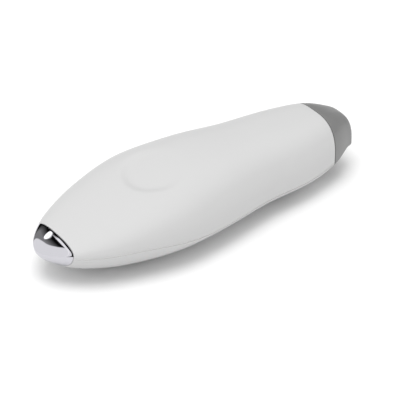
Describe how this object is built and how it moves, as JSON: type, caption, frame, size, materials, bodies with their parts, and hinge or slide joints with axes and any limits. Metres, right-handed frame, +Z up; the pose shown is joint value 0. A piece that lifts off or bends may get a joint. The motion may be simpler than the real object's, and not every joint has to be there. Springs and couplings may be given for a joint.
{
  "type": "ultrasonic skin scrubber",
  "caption": "Hand-held skin scrubber: egg-shaped casing with a thumb scoop, bright metal nose tip, recessed button and a pull-off cap over a flat steel blade.",
  "frame": {"origin": "centre of the box in plan, on the surface that the scrubber rests on", "axes": "+Y from the nose tip to the blade cap, +Z up out of the thumb scoop, +X across the body"},
  "size_m": [0.0586, 0.16, 0.0352],
  "materials": {
    "white_casing": "satin moulded white ABS",
    "bright_metal": "polished",
    "grey_plastic": "satin grey ABS",
    "button_plastic": "satin grey ABS",
    "blade_steel": "brushed stainless steel",
    "horn_metal": "turned aluminium",
    "screw_steel": "zinc plated steel",
    "dark_steel": "black oxide steel",
    "brass_contact": "stamped brass",
    "copper": "stamped copper",
    "nickel": "nickel strip",
    "ceramic": "fired piezo ceramic",
    "gasket": "silicone",
    "plug_rubber": "light grey silicone",
    "inner_plastic": "black ABS",
    "black_plastic": "black moulded plastic",
    "board": "green solder mask",
    "transformer": "yellow tape over a winding",
    "capacitor": "sleeved can",
    "cell_wrap": "plain blue shrink wrap",
    "lamp": "clear tinted lens",
    "clear_plastic": "frosted clear plastic",
    "wire_red": "insulated wire",
    "wire_white": "insulated wire",
    "wire_black": "insulated wire",
    "wire_yellow": "insulated wire"
  },
  "bodies": {
    "casing": {"upper_casing": "white_casing", "lower_casing": "white_casing", "seam_gasket": "gasket", "nose_tip": "bright_metal", "nose_retainer": "inner_plastic", "nose_screw": "screw_steel", "contact_washer": "brass_contact", "tail_bezel": "grey_plastic", "blade_seal": "gasket", "scrubber_blade": "blade_steel", "transducer_horn": "horn_metal", "piezo_rings": "ceramic", "electrode_plates": "copper", "back_mass": "screw_steel", "clamp_bolt": "dark_steel", "transducer_mount": "gasket", "circuit_board": "board", "board_screws": "screw_steel", "drive_transformer": "transformer", "control_chip": "black_plastic", "board_capacitors": "capacitor", "tact_switch": "black_plastic", "battery_cell": "cell_wrap", "battery_cradle": "inner_plastic", "battery_tabs": "nickel", "charging_socket": "black_plastic", "charge_board": "board", "charge_led": "lamp", "light_pipe": "clear_plastic", "casing_screws": "screw_steel", "screw_plugs": "plug_rubber", "battery_leads": "wire_red", "transducer_leads": "wire_white", "nose_lead": "wire_black", "charge_leads": "wire_yellow"},
    "cap": {"blade_cap": "grey_plastic"},
    "button": {"power_button": "button_plastic", "switch_plunger": "inner_plastic"}
  },
  "joints": [
    {"name": "cap_slide", "type": "slide", "parent": "casing", "child": "cap", "axis": [0, 1, 0], "range_m": [0, 0.02]},
    {"name": "button_press", "type": "slide", "parent": "casing", "child": "button", "axis": [0, 0, 1], "range_m": [0, 0.0006], "stiffness_N_per_m": 2500}
  ]
}
